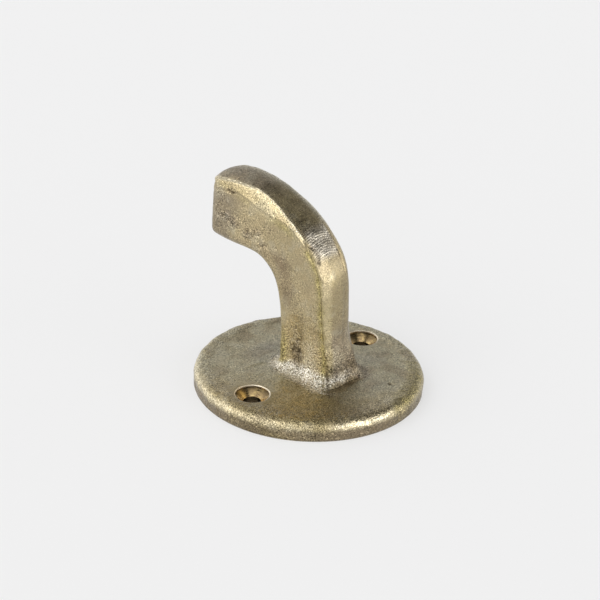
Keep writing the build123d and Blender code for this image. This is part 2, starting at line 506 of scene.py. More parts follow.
# the filed flat on the outer side, where the stem turns into the arm
in_flat = sstep(22.0, 24.8, SS) * (1 - sstep(29.5, 31.6, SS))
flat = outer * in_flat * sstep(-5.2, -4.2, x) * (1 - sstep(2.05, 2.40, x - 0.12 * np.sin(z * 1.1)))
disp -= 0.24 * flat * (0.8 + 0.2 * bump(x, -0.5, 4))
seam = outer * bump(x, 2.35 - 0.12 * sstep(27, 30, SS), 0.34) * sstep(21.0, 24, SS) * (1 - sstep(30, 32, SS))
disp -= 0.16 * seam
seam2 = outer * bump(x, 1.7 - 0.07 * (24.5 - z) * (z < 24.5), 0.8) * (1 - sstep(19, 23, SS)) * sstep(2, 8, SS)
disp -= 0.06 * seam2
nick = outer * bump(off_line(x, SS, [(-4.2, 26.2), (-3.7, 27.6), (-3.9, 28.8), (-4.6, 29.6)])[0], 0, 0.55)
disp -= 0.20 * nick
ground = outer * sstep(25.6, 27.4, SS) * (1 - sstep(31.4, 33.6, SS)) * sstep(-5.0, -3.8, x) * (1 - sstep(2.1, 2.6, x))
run = SS + 0.045 * (x + 0.8) ** 2                           # the grinding lines are arcs

# file and hammer marks on the upper arm's top
on_top = outer * sstep(31, 34, SS)
disp += on_top * (0.05 * vnoise(G * np.array([0.7, 1.0, 1.0]), 1.8, 97) - 0.06 * blob(x, SS, -1.6, 37.5, 1.5, 2.4)
                  - 0.05 * blob(x, SS, 0.8, 41.0, 1.4, 1.8))

# the foot: rough where metal was dressed off, a crease running down to the plate
reach = np.minimum.reduce([np.hypot(x - fx0, y - fy0) for fx0, fy0 in zip(foot[::4, 0], foot[::4, 1])])
band = np.where(ZONE == 3, 1 - sstep(0.0, 1.6, reach), np.where(ZONE == 2, 1.0, 1 - sstep(0.0, 1.6, SS - 3.0)))
band = np.where(ZONE <= 3, band, 0.0)
disp += band * (0.060 * vnoise(G, 1.05, 101) + 0.02 * vnoise(G, 0.6, 103))
slot_d, slot_t = off_line(x, y, [(-4.6, -9.6), (-5.4, -10.6), (-6.9, -12.2), (-8.9, -13.6)])
disp -= 0.34 * (1 - sstep(8.0, 11.0, z)) * (ZONE <= 3) * bump(slot_d, 0, 0.52) * (1 - 0.7 * sstep(0.6, 1.0, slot_t))

# a faint raised line on the plate and a few dents and scratches
seam3, _t3 = off_line(x, y, [(-12.2, 10.2), (-7.8, 8.9), (-5.4, 7.6)])
disp += plate * 0.11 * bump(seam3, 0, 0.7) * np.sin(np.pi * np.clip(_t3, 0.04, 0.96))
disp -= plate * 0.05 * bump(off_line(x, y, [(-12.6, 9.2), (-8.0, 7.9)])[0], 0, 0.9)
pock = plate * np.clip(2 * bump(np.hypot(x - 6.42, y + 19.64), 0, 0.62), 0, 1)
disp -= 0.28 * pock
disp -= plate * 0.07 * bump(off_line(x, y, [(-1.6, -20.7), (-2.3, -23.1)])[0], 0, 0.5)
disp += plate * 0.05 * bump(off_line(x, y, [(-1.0, -20.9), (-1.7, -23.2)])[0], 0, 0.5)
disp += plate * (0.030 * vnoise(G, 1.7, 109) + 0.012 * n_fine)
edge_near = (ZONE == 3) * sstep(22.0, 25.0, rad) + rim
disp += edge_near * (0.08 * vnoise(G, 2.1, 113) + 0.055 * vnoise(G, 0.9, 127) + 0.09 * vnoise(G, 6.0, 131))
by_hole = np.maximum(sstep(6.6, 5.0, np.hypot(x + HOLE_X, y)), sstep(6.6, 5.0, np.hypot(x - HOLE_X, y)))
disp *= 1 - plate * by_hole
disp *= 1 - back
disp *= np.where(ZONE == 5, sstep(0.0, BACK_EDGE, z), 1.0)  # the edge that lies on the floor stays level

# moved along softened normals, so that points at a sharp edge don't cross
Nd = Nn.copy()
for _ in range(26):
    Nd = (np.roll(Nd, 1, 1) + 2 * Nd + np.roll(Nd, -1, 1)) / 4
Nd /= np.linalg.norm(Nd, axis=-1, keepdims=True)
G1 = G + Nd * disp[..., None]

# the ledge below the outer side of the stem: the fillet was cut off square there
ly = -11.45 - 0.078 * (x + 1.0) + 0.06 * np.sin(x * 1.7 + 0.5)
out = ly - G1[..., 1]
span = sstep(-8.0, -7.0, x) * (1 - sstep(2.8, 5.2, x)) * (ZONE <= 3) * (G1[..., 2] < 9.0)
ledge = span * sstep(0.0, 0.28, out)
level = PLATE_T - 0.08 - 0.18 * bump(out, 0.5, 1.8) * (1 - sstep(-0.5, 2.0, x))
G1[..., 2] -= ledge * (1 - sstep(2.6, 5.2, out)) * (1 - sstep(4.0, 6.5, x)) * np.clip(G1[..., 2] - level, 0, 9)
shelf = span * sstep(-1.6, -0.1, out) * (1 - sstep(-0.1, 0.12, out)) * (G1[..., 2] < 7.5)
G1[..., 2] += 0.14 * shelf * (1 - sstep(2.5, 4.5, x))
G1[..., 2] = np.maximum(G1[..., 2], 0.0)

# ------------------------------------------------------------ what the metal looks like where
# Each mask is worked out from the shape above and kept on the points for the material; several of them also paint
# light and shade into the colour, as noted at each.
# faces the camera: the dressed band round the foot is painted brighter there, a painted highlight
facing = sstep(-0.1, 0.6, -(0.755 * Nn[..., 0] + 0.655 * Nn[..., 1]))
on_plate = ((ZONE >= 3) & (ZONE < 6)).astype(float)
front = sstep(6.0, 22.0, -(0.755 * x + 0.655 * y) - 0.18 * (0.655 * x - 0.755 * y) + 3.0 * n_big)
mott = 0.5 + 0.5 * fbm(G, 2.6, 151, 2)
mott2 = 0.5 + 0.5 * fbm(G, 4.2, 173, 2)
across = (0.652 * x - 0.758 * y) / PLATE_R                  # -1 to 1 along the plate's front rim
toward = -(0.76 * x + 0.645 * y) > -4.0
# painted highlight: the spans of the front rim that are made bright, set by their place along the rim as seen from
# the camera
rim_lit_span = toward * (1.35 * sstep(0.10, 0.32, across) * (1 - sstep(0.64, 0.73, across))
                   + (0.40 + 0.35 * sstep(-0.50, -0.75, across)) * (1 - sstep(-0.30, 0.02, across))
                   + 0.12 * bump(across, -0.02, 0.3))
# painted highlight: the bright band along the rounded front rim
rim_highlight = rim * rim_lit_span * bump(z, PLATE_T - 1.30, 1.15)
# painted shade: the rim's right end, where the light falls off, is given olive and brown
shaded = toward * sstep(0.66, 0.74, across)
foot_right = sstep(-5.2, -4.2, x) * (y < -5.5) * sstep(-0.20, 0.45, z - 6.3 + 0.155 * (x + 4.0)) \
    * (1 - sstep(7.5, 11.0, z)) * (ZONE <= 2)
part_up = np.clip(np.abs(d_low), 0, 9) / (np.clip(np.abs(d_low), 0, 9) + np.clip(np.abs(d_up), 0, 9) + 1e-6)
MASK = {
    # rubbed bright: the filed edge and ridges; also painted highlights on the plate's rim and on the raised border's
    # edge, and painted light on the bulge of the stem's near side
    "wear_and_highlight": np.clip(
        upper_cham * (0.56 + 0.34 * n_mid) * (0.18 + 0.82 * bump(SS, 41.0, 9.0)) * (0.12 + 0.88 * sstep(0.3, 2.0, d_low))
        * (1 - 0.7 * sstep(37, 42, SS) * (1 - sstep(0.35, 0.75, part_up)))
        + 0.80 * arm * sstep(30, 33, SS) * bump(d_up, 0, 0.60)
        # painted highlight on the rim
        + 0.95 * rim_highlight * (0.45 + 0.8 * mott)
        + stem_cham * (0.10 + 0.28 * (1 - sstep(20, 24, SS))) * sstep(3, 10, SS) * sstep(0.0, 0.7, d_low)
        + 0.38 * near * arm * (1 - on_cham) * bump(d_low, 0.8, 2.4) * bump(SS, 42.0, 8.0)
        # painted light on the stem's near bulge
        + 0.38 * near * arm * (1 - sstep(18, 26, z)) * bump(y, -3.6, 2.6) * sstep(0.2, 0.7, mott)
        # painted highlight on the raised border's edge
        + 0.25 * border * sstep(3.6, 5.0, y), 0, 1),
    # yellow-green film in and beside the creases and on the border strip; painted shade along the arm's inner edges
    # and on the rim away from its highlight, most at the rim's right end
    "olive_and_shade": np.clip(
        near * arm * in_stem * sstep(3.4, 1.6, below) * (0.60 + 0.5 * mott)
        # film in the creases; painted shade at the rim's right end
        + 0.75 * crease + 0.50 * shaded * on_plate * sstep(22.5, 24.5, rad) * sstep(PLATE_T - 1.6, PLATE_T - 0.6, z)
        # random spots on the plate; on the rim away from its highlight: painted shade
        + 0.30 * on_plate * sstep(0.50, 0.80, mott2) * front + 0.35 * rim * (1 - rim_lit_span) * (0.3 + 0.9 * mott2)
        + 0.30 * stem_cham * (1 - sstep(15, 20, SS))
        + 0.9 * near * arm * (1 - on_cham) * bump(d_low, 0.9, 1.9) * bump(SS, 35.5, 5.5) * (0.6 + 0.6 * mott)
        + 0.5 * near * arm * (1 - on_cham) * bump(d_low, 0.6, 1.4) * bump(SS, 47.0, 3.5) * (0.4 + 0.9 * mott)
        + 0.85 * border * (1 - sstep(10, 19, z))
        # along the arm's inner edges: painted shade
        + 0.35 * near * arm * bump(HALF + V, 0.8, 1.6) * (1 - sstep(38, 46, SS))
        + 0.35 * arm * (1 - near) * bump(HALF + V, 0.3, 1.5), 0, 1),
    # frosted, almost white: the dressed band round the foot, brighter where it faces the camera as painted highlight;
    # painted highlights also on the rim and along the ledge's edge, painted reflection on the top's far strip, and
    # painted light on the stem's near bulge
    "frost_and_highlight": np.clip(
        # the dressed band, whiter where it faces the camera: painted highlight
        band * (0.50 + 0.50 * facing)
        * np.where(ZONE == 3, 1 - sstep(0.1, 2.4, reach),
                   1 - sstep(0.6 - 0.5 * sstep(1.0, 4.5, y), 3.0 - 1.7 * sstep(1.0, 4.5, y), SS - 0.3))
        * (1 - 0.75 * sstep(-1.5, 3.5, x))
        * (1 - 0.97 * sstep(-5.2, -4.2, x) * (y < -5.5) * sstep(-0.20, 0.45, z - 6.3 + 0.155 * (x + 4.0)))
        * (1 - 0.95 * span * sstep(-0.02, 0.14, out)) * 1.30
        # along the ledge's edge: painted highlight
        + 0.55 * shelf * (1 - sstep(0.0, 4.0, x)) + 0.25 * scab
        # on the rim: painted highlight
        + 0.35 * rim_highlight
        # the chamfer's ridge; the top, lighter towards its far side and near the tip: painted reflection
        + 0.45 * arm * sstep(30, 33, SS) * bump(d_up, 0, 0.45) + 0.50 * on_top * sstep(1.4, 4.0, x)
        + 0.35 * on_top * sstep(-1.0, 2.5, x) * sstep(41, 47, SS)
        # the stem's near bulge: painted light
        + 0.42 * near * arm * bump(y, -4.0, 3.2) * (1 - sstep(10, 19, z)), 0, 1) * (0.72 + 0.35 * mott),
    # bare, finely ground metal where the stem turns
    "silver": np.clip(ground, 0, 1),
    # darker brown: painted shade in patches on the near side, standing in for the shading of its relief; random
    # patches on the plate; a patch low on the near side; painted shade on the rim's lower wall
    "umber_and_shade": np.clip(near * arm * (0.9 * blob(SS, V, 29.4, -2.6, 5.5, 3.4) + 0.9 * blob(SS, V, 22.5, -4.0, 8.0, 3.6)
                                   + 0.5 * blob(SS, V, 34.0, -4.4, 6.0, 2.6)) * (0.55 + 0.9 * mott)
                     + 0.45 * on_plate * sstep(0.52, 0.85, mott2) + 0.7 * near * arm * bump(z, 7.2, 2.2) * bump(y, 4.2, 2.4)
                     # the rim's lower wall: painted shade
                     + 0.50 * (ZONE == 4) * sstep(PLATE_T - 2.2, PLATE_T - 3.0, z), 0, 1),
    # bluish grey patches on the plate beside the foot
    "slate": np.clip(plate * (0.9 * blob(x, y, -1.5, 11.5, 10.0, 6.5) + 0.4 * blob(x, y, 2.5, -17.5, 8.0, 5.0)
                              + 0.6 * blob(x, y, 12.0, -8.0, 7.0, 6.0)) * (0.4 + 0.9 * mott), 0, 1),
    "calm": np.clip(near * arm * (blob(SS, V, 26.0, 2.8, 15.0, 4.0) + blob(SS, V, 17.0, -6.0, 8.0, 4.5))
                    + 0.8 * outer * (1 - sstep(24, 28, SS)) * sstep(4.0, 9.0, SS) + 0.6 * by_hole * plate, 0, 1),
    "edge": edge_near,
    "run": run,
    # brown and dark: pits, the crack, the fissures, nicks, seams and the slot; painted shade in the hollow up the
    # stem, on the rim's lower wall and where the rim's highlight is dimmed; painted shadow under the ledge
    "dark_marks_and_shade": np.clip(
        # the hollow up the stem: painted shade
        near * arm * climb * bump(y, 0.35, 2.2) * (0.25 + 0.75 * sstep(0.25, 0.75, mott)) * (1 - 0.8 * sstep(10.5, 15, z))
        + 0.55 * patch * sstep(0.05, 0.6, _pn)
        + 0.9 * crack + 1.2 * pit + 0.30 * scab + 0.9 * pock + 0.85 * fissure
        # the rim's lower wall and spans of the rim: painted shade
        + 0.46 * (ZONE == 4) * sstep(PLATE_T - 1.9, PLATE_T - 3.0, z) * (0.5 + 0.9 * mott2)
        + 0.26 * rim * bump(across, 0.10, 0.20) + 0.36 * rim * bump(across, -0.45, 0.18)
        + 0.10 * outer * (1 - sstep(7, 14, SS)) * (0.5 + mott)
        + foot_right * (0.14 + 0.26 * sstep(-0.5, 2.5, x))
        + 0.75 * nick + 0.55 * seam + 0.30 * seam2
        + 0.95 * (1 - sstep(8.0, 10.0, z)) * (ZONE <= 3) * bump(slot_d, 0, 0.55)
        # under the ledge: painted shadow
        + span * 1.1 * sstep(0.05, 0.25, out) * (1 - sstep(0.6, 3.4, out)) * (1 - sstep(0.5, 4.0, x)) * (0.6 + 0.5 * mott)
        + 0.55 * crease * sstep(0.25, 0.9, 1 - np.abs(d_low) / 0.5), 0, 1),
    "pitted": np.clip(1.3 * patch + 0.6 * scab + 0.7 * band * (ZONE <= 3) + 0.2 * upper_cham
                      + 0.75 * near * arm * (1 - sstep(9, 20, z)) + 0.30 * plate * front * (1 - by_hole)
                      + 0.3 * rim * (1 - rim_lit_span) + 0.15 * edge_near + 0.5 * fissure
                      + 0.55 * outer * (1 - sstep(7, 15, SS)), 0, 1),
    "filed": np.clip(ground + 0.15 * flat + on_top * (0.15 + 0.5 * (1 - sstep(34, 39, SS))), 0, 1),
    # brown film on the plate's front, the stem's outer side and the chamfer's lower part; on the near part of the top
    # and at the rim's right end it is painted shade
    "brown_and_shade": np.clip(on_plate * front * (1 - 0.8 * rim_highlight) * (1 - 0.9 * sstep(0.18, 0.5, across))
                     * (1 - 0.9 * sstep(-0.45, -0.75, across))
                     # the near part of the top: painted shade
                     + 0.9 * on_top * (1 - 0.8 * sstep(1.0, 3.5, x))
                     + 0.65 * upper_cham * (1 - sstep(0.3, 1.9, d_low)) * sstep(34, 40, SS)
                     + 0.8 * upper_cham * (1 - sstep(0.35, 0.80, part_up)) * sstep(37, 42, SS) * (0.4 + 0.9 * mott)
                     # the rim's right end: painted shade
                     + 0.4 * shaded * edge_near
                     + 0.6 * on_plate * sstep(10, 22, y - 0.2 * x) * sstep(0.35, 0.7, mott2)
                     + 1.0 * outer * (1 - sstep(26, 29, SS)) * (1 - 0.55 * stem_cham * sstep(3, 9, SS))
                     + 0.28 * near * arm * bump(SS, 34.0, 9.0) * (0.4 + 0.8 * mott)
                     + 0.35 * near * arm * sstep(44, 50, SS) * sstep(2.6, 1.0, below), 0, 1),
    # grey-green tone on the plate away from its camera side, and painted reflection on the far strip of the arm's top
    "grey_green_and_reflection": np.clip(on_plate * (1 - front) + on_top * sstep(0.5, 3.5, x), 0, 1),
    # dull grey-brown: the tip's side, the pitted patches and the grey far edges; painted shade on the near part of
    # the top, inside the front rim, on spans of the rim, on the rim's lower wall and underside, and along the near
    # side's inner edge
    "dull_and_shade": np.clip(0.9 * near * arm * sstep(45.0, 50.0, SS) * sstep(2.2, 5.5, below)
                    + 0.8 * band * (y < -5.0) * sstep(2.0, 4.0, x)
                    # pitted patches; the near part of the top: painted shade
                    + 0.85 * patch + 1.1 * on_top * sstep(40, 47, SS) * (1 - sstep(-0.5, 3.0, x))
                    # inside the front rim: painted shade
                    + 0.15 * on_plate * front * sstep(20.0, 23.0, rad) * sstep(PLATE_T - 1.4, PLATE_T - 0.7, z)
                    # spans of the rim: painted shade
                    + 0.7 * rim * bump(across, -0.45, 0.22) + 0.7 * foot_right
                    # the rim's lower wall and underside: painted shade
                    + 0.95 * (ZONE == 4) * sstep(PLATE_T - 1.5, PLATE_T - 2.6, z) * (0.6 + 0.8 * mott) + 0.8 * (ZONE == 5)
                    # the near side's inner edge: painted shade
                    + 0.55 * near * arm * bump(HALF + V, 0.9, 2.6) * sstep(18, 30, SS)
                    + 0.34 * (stem_cham + flat) * sstep(16, 21, SS) * (1 - ground)
                    + 0.26 * outer * (1 - stem_cham) * (1 - sstep(23, 27, SS)) * (0.6 + 0.4 * sstep(-0.5, 2.0, x))
                    + 0.85 * outer * (1 - sstep(8, 16, SS)), 0, 1),
}


def finish_mesh(G1):
    me = bpy.data.meshes.new("hook_casting")
    verts = [tuple(p * 0.001) for p in G1[0].mean(0)[None]]
    pts = G1.reshape(-1, 3) * 0.001
    tip = G1[0].mean(0) * 0.001
    pole = G1[-1].mean(0) * 0.001
    verts = np.concatenate([pts, tip[None], pole[None]])
    idx = np.arange(K * N).reshape(K, N)
    a = idx[:-1]
    b_ = idx[1:]
    a2 = np.roll(a, -1, 1)
    b2 = np.roll(b_, -1, 1)
    quads = np.stack([a, b_, b2, a2], -1).reshape(-1, 4)
    t0 = np.stack([np.full(N, K * N), idx[0], np.roll(idx[0], -1)], -1)
    t1 = np.stack([np.full(N, K * N + 1), np.roll(idx[-1], -1), idx[-1]], -1)
    if FLIP:
        quads = quads[:, ::-1]
        t0 = t0[:, ::-1]
        t1 = t1[:, ::-1]
    loops = np.concatenate([quads.ravel(), t0.ravel(), t1.ravel()])
    starts = np.concatenate([np.arange(len(quads)) * 4, len(quads) * 4 + np.arange(2 * N) * 3])
    me.vertices.add(len(verts))
    me.vertices.foreach_set("co", verts.ravel())
    me.loops.add(len(loops))
    me.loops.foreach_set("vertex_index", loops.astype(np.int32))
    me.polygons.add(len(starts))
    me.polygons.foreach_set("loop_start", starts.astype(np.int32))
    me.update(calc_edges=True)
    me.validate()
    return me


mesh = finish_mesh(G1)
hook = bpy.data.objects.new("hook_casting", mesh)
bpy.context.scene.collection.objects.link(hook)

# ------------------------------------------------------------ materials


def material(name):
    m = bpy.data.materials.new(name)
    m.use_nodes = True
    nt = m.node_tree
    for n in list(nt.nodes):
        nt.nodes.remove(n)
    out = nt.nodes.new("ShaderNodeOutputMaterial")
    bsdf = nt.nodes.new("ShaderNodeBsdfPrincipled")
    nt.links.new(bsdf.outputs[0], out.inputs[0])
    return m, nt, bsdf


class Graph:
    """Short names for the nodes used below. Scales are in millimetres."""

    def __init__(self, nt):
        self.nt = nt
        self.co = None

    def put(self, socket, v):
        if isinstance(v, (int, float)):
            socket.default_value = v
        elif isinstance(v, tuple):
            socket.default_value = v if len(v) == len(socket.default_value) else v + (1.0,)
        else:
            self.nt.links.new(v, socket)

    def math(self, op, a, b=0.0, c=0.0, clamp=False):
        n = self.nt.nodes.new("ShaderNodeMath")
        n.operation = op
        n.use_clamp = clamp
        for i, v in enumerate((a, b, c)):
            self.put(n.inputs[i], v)
        return n.outputs[0]

    def add(self, a, b):
        return self.math("ADD", a, b)

    def mul(self, a, b, clamp=False):
        return self.math("MULTIPLY", a, b, clamp=clamp)

    def step(self, v, lo, hi, out_lo=0.0, out_hi=1.0):
        n = self.nt.nodes.new("ShaderNodeMapRange")
        n.interpolation_type = "SMOOTHSTEP"
        self.put(n.inputs["Value"], v)
        for k, q in (("From Min", lo), ("From Max", hi), ("To Min", out_lo), ("To Max", out_hi)):
            self.put(n.inputs[k], q)
        return n.outputs["Result"]

    def mix(self, f, a, b, mode="MIX"):
        n = self.nt.nodes.new("ShaderNodeMix")
        n.data_type = "RGBA"
        n.blend_type = mode
        n.clamp_factor = True
        self.put(n.inputs[0], f)
        self.put(n.inputs[6], a)
        self.put(n.inputs[7], b)
        return n.outputs[2]

    def blend(self, f, a, b):
        """The same for plain numbers."""
        n = self.nt.nodes.new("ShaderNodeMix")
        n.data_type = "FLOAT"
        n.clamp_factor = True
        self.put(n.inputs[0], f)
        self.put(n.inputs[2], a)
        self.put(n.inputs[3], b)
        return n.outputs[0]

    def where(self, stretch=(1, 1, 1)):
        """Millimetre coordinates fixed to the casting."""
        if self.co is None:
            self.co = self.nt.nodes.new("ShaderNodeTexCoord").outputs["Object"]
        n = self.nt.nodes.new("ShaderNodeMapping")
        n.inputs["Scale"].default_value = tuple(1000.0 * q for q in stretch)
        self.nt.links.new(self.co, n.inputs["Vector"])
        return n.outputs[0]

    def noise(self, mm, detail=2.0, rough=0.5, distort=0.0, stretch=(1, 1, 1)):
        n = self.nt.nodes.new("ShaderNodeTexNoise")
        n.inputs["Scale"].default_value = 1.0 / mm
        n.inputs["Detail"].default_value = detail
        n.inputs["Roughness"].default_value = rough
        n.inputs["Distortion"].default_value = distort
        self.nt.links.new(self.where(stretch), n.inputs["Vector"])
        return n.outputs[0]

    def cells(self, mm, feature="F1", smooth=0.5):
        n = self.nt.nodes.new("ShaderNodeTexVoronoi")
        n.feature = feature
        n.inputs["Scale"].default_value = 1.0 / mm
        if feature == "SMOOTH_F1":
            n.inputs["Smoothness"].default_value = smooth
        self.nt.links.new(self.where(), n.inputs["Vector"])
        return n.outputs["Distance"]

    def attr(self, name):
        n = self.nt.nodes.new("ShaderNodeAttribute")
        n.attribute_name = name
        return n.outputs["Fac"]

    def bump(self, height, strength=1.0, mm=1.0):
        n = self.nt.nodes.new("ShaderNodeBump")
        n.inputs["Strength"].default_value = strength
        n.inputs["Distance"].default_value = 0.001 * mm
        self.nt.links.new(height, n.inputs["Height"])
        return n.outputs[0]


# pinholes too small for the mesh: where (mm), full radius, faded-out radius
PIN_A = (-5.75, 21.88, 44.95, 0.20, 0.42)
PIN_B = (-5.75, 20.90, 44.70, 0.10, 0.30)
PIN_C = (-5.75, 20.45, 44.55, 0.04, 0.24)
PIN_D = (6.42, -19.64, 4.90, 0.10, 0.32)
PIN_E = (8.60, -8.20, 4.90, 0.06, 0.28)

# cast brass: sand-cast skin with a worn brown-grey film over yellow metal
mat_cast, nt, bs = material("cast_brass")
g = Graph(nt)
wear_and_highlight, olive_and_shade, frost_and_highlight, dark_marks_and_shade = g.attr("wear_and_highlight"), g.attr("olive_and_shade"), g.attr("frost_and_highlight"), g.attr("dark_marks_and_shade")
pitted, filed, brown_and_shade = g.attr("pitted"), g.attr("filed"), g.attr("brown_and_shade")
grey_green_and_reflection, dull_and_shade = g.attr("grey_green_and_reflection"), g.attr("dull_and_shade")
silver, umber_and_shade, calm, edge, run_at = g.attr("silver"), g.attr("umber_and_shade"), g.attr("calm"), g.attr("edge"), g.attr("run")
slate = g.attr("slate")
n_patch = g.noise(8.0, 2, 0.5)
n_cloud = g.noise(2.4, 3, 0.6, 0.4)
n_drift = g.noise(4.6, 2, 0.6, 0.3)
n_grain = g.noise(0.36, 2, 0.7)
n_speck = g.noise(0.20, 1, 0.5)
n_spark = g.noise(0.27, 1, 0.5)
n_pore = g.cells(0.55, "SMOOTH_F1", 0.35)


def pinhole(at, inner, outer_r):
    """1 inside a small ball around a point (mm), 0 outside it."""
    n = nt.nodes.new("ShaderNodeVectorMath")
    n.operation = "DISTANCE"
    nt.links.new(g.where(), n.inputs[0])
    n.inputs[1].default_value = at
    return g.step(g.add(n.outputs["Value"], g.mul(g.math("SUBTRACT", n_speck, 0.5), 0.25)), inner, outer_r, 1.0, 0.0)


holes_n = 0.0
for at in (PIN_A, PIN_B, PIN_C, PIN_D, PIN_E):
    holes_n = g.math("MAXIMUM", pinhole(at[:3], *at[3:]), holes_n)
# the grinding lines, as waves across the direction the wheel ran
lines = g.math("SINE", g.add(g.mul(run_at, 2 * math.pi / 0.46), g.mul(g.noise(0.9, 2, 0.6, 0.0, (0.35, 1, 1)), 11.0)))

col = g.mix(g.step(n_patch, 0.36, 0.64), (0.462, 0.382, 0.230), (0.495, 0.400, 0.233))
col = g.mix(g.step(n_cloud, 0.40, 0.75, 0.0, 0.35), col, (0.430, 0.375, 0.245))
# grey-green tone, and painted reflection on the top's far strip
col = g.mix(g.mul(grey_green_and_reflection, g.step(n_cloud, 0.25, 0.70, 0.60, 1.0)), col, (0.495, 0.455, 0.320))
# brown film, partly painted shade on the top and the rim's right end
col = g.mix(g.mul(brown_and_shade, g.step(n_cloud, 0.25, 0.70, 0.60, 1.0)), col, (0.345, 0.283, 0.155))
# dull grey-brown, partly painted shade
col = g.mix(g.mul(dull_and_shade, g.step(n_cloud, 0.25, 0.70, 0.70, 1.0)), col, (0.290, 0.240, 0.170))
col = g.mix(g.step(n_drift, 0.50, 0.68, 0.0, 0.40), col, (0.400, 0.320, 0.195))
col = g.mix(g.step(n_drift, 0.50, 0.34, 0.0, 0.35), col, (0.500, 0.455, 0.340))
col = g.mix(g.mul(slate, 0.75), col, (0.350, 0.335, 0.285))
# darker brown, partly painted shade on the near side and the rim's lower wall
col = g.mix(umber_and_shade, col, (0.290, 0.225, 0.140))
# olive film, and painted shade on the rim and along the arm's inner edges
col = g.mix(g.mul(olive_and_shade, g.step(n_cloud, 0.25, 0.65, 0.60, 1.0)), col, (0.395, 0.330, 0.145))
col = g.mix(g.mul(silver, g.step(n_cloud, 0.30, 0.60, 0.65, 0.95)), col, (0.570, 0.520, 0.430))
col = g.mix(g.mul(filed, g.step(lines, 0.2, 0.9, 0.0, 0.35)), col, (0.200, 0.165, 0.115))
# worn bright metal, and painted highlights on the rim, the border's edge and the near bulge
worn_and_highlight_mix = g.mul(wear_and_highlight, g.step(n_grain, 0.22, 0.62, 0.62, 1.0))
col = g.mix(worn_and_highlight_mix, col, (0.660, 0.560, 0.340))
# frosted metal, and painted highlights and reflection
frost_and_highlight_mix = g.mul(frost_and_highlight, g.step(n_grain, 0.36, 0.60, 0.12, 1.0))
col = g.mix(frost_and_highlight_mix, col, (0.760, 0.720, 0.640))
# dark marks, and painted shade and shadow
dark_and_shade_mix = g.mul(dark_marks_and_shade, g.step(n_grain, 0.70, 0.30, 0.65, 1.0))
col = g.mix(g.mul(dark_and_shade_mix, 0.85), col, (0.105, 0.078, 0.050))
col = g.mix(g.mul(holes_n, 0.92), col, (0.030, 0.022, 0.015))
# the grain itself: dark between the sand marks, bright on top of them
amp = g.mul(g.step(n_cloud, 0.32, 0.62, 0.55, 1.25), g.math("SUBTRACT", 1.0, g.mul(calm, 0.62)))
amp = g.mul(amp, g.math("SUBTRACT", 1.0, g.mul(wear_and_highlight, 0.35)))
amp = g.mul(amp, g.add(1.0, g.mul(pitted, 0.70)))
tone = g.add(g.mul(g.math("SUBTRACT", n_grain, 0.5), 2.3), g.mul(g.math("SUBTRACT", n_speck, 0.5), 0.9))
tone = g.add(tone, g.step(n_spark, 0.60, 0.74, 0.0, 0.85))
tone = g.add(tone, g.step(n_spark, 0.38, 0.26, 0.0, -0.55))
tone = g.math("MAXIMUM", g.add(g.mul(tone, amp), 0.95), 0.22)
pits_t = g.mul(g.step(n_pore, 0.16, 0.34, 1.0, 0.0), g.step(n_cloud, 0.42, 0.62))
tone = g.mul(tone, g.math("SUBTRACT", 1.0, g.mul(pits_t, g.add(0.16, g.mul(pitted, 0.40)))))
shade = nt.nodes.new("ShaderNodeVectorMath")
shade.operation = "SCALE"
nt.links.new(col, shade.inputs[0])
nt.links.new(tone, shade.inputs["Scale"])
nt.links.new(shade.outputs[0], bs.inputs["Base Color"])
bs.inputs["Metallic"].default_value = 1.0

rough = g.add(g.step(n_cloud, 0.30, 0.70, 0.29, 0.39), g.step(n_grain, 0.3, 0.7, 0.07, -0.07))
rough = g.add(rough, g.mul(edge, -0.10))
rough = g.add(rough, g.mul(silver, -0.04))
rough = g.add(rough, g.mul(wear_and_highlight, -0.09))
rough = g.add(rough, g.mul(frost_and_highlight, 0.10))
rough = g.add(rough, g.mul(dark_and_shade_mix, 0.14))
rough = g.math("ADD", rough, g.mul(filed, -0.06), clamp=True)
nt.links.new(rough, bs.inputs["Roughness"])

hgt = g.mul(g.math("SUBTRACT", n_grain, 0.5), g.mul(amp, g.add(0.105, g.mul(pitted, 0.140))))
hgt = g.add(hgt, g.mul(n_speck, 0.018))
hgt = g.add(hgt, g.mul(pits_t, g.add(-0.020, g.mul(pitted, -0.070))))
hgt = g.add(hgt, g.mul(edge, g.add(g.mul(g.noise(1.5, 2, 0.6), 0.34), g.mul(g.noise(0.62, 1, 0.5), 0.08))))
hgt = g.add(hgt, g.mul(holes_n, -0.25))
hgt = g.add(hgt, g.mul(g.mul(filed, lines), 0.010))
nt.links.new(g.bump(hgt), bs.inputs["Normal"])

# cut brass inside the screw holes: yellow, with the drill's fine rings
mat_cut, nt, bs = material("machined_brass")
g = Graph(nt)
lip, wall, bore_at = g.attr("lip"), g.attr("wall"), g.attr("bore")
n_film = g.noise(1.6, 3, 0.6, 0.5)
rings = g.noise(0.16, 1, 0.5, 0.0, (0.10, 0.10, 1.0))
col = g.mix(g.step(n_film, 0.36, 0.66), (0.860, 0.640, 0.285), (0.650, 0.455, 0.240))
col = g.mix(g.step(rings, 0.35, 0.65, 0.0, 0.35), col, (0.360, 0.260, 0.160))
# the upper wall of the recess: painted shadow
col = g.mix(g.mul(wall, g.step(n_film, 0.30, 0.60, 0.65, 1.0)), col, (0.120, 0.085, 0.040))
# the bore: painted shade
col = g.mix(bore_at, col, (0.090, 0.066, 0.036))
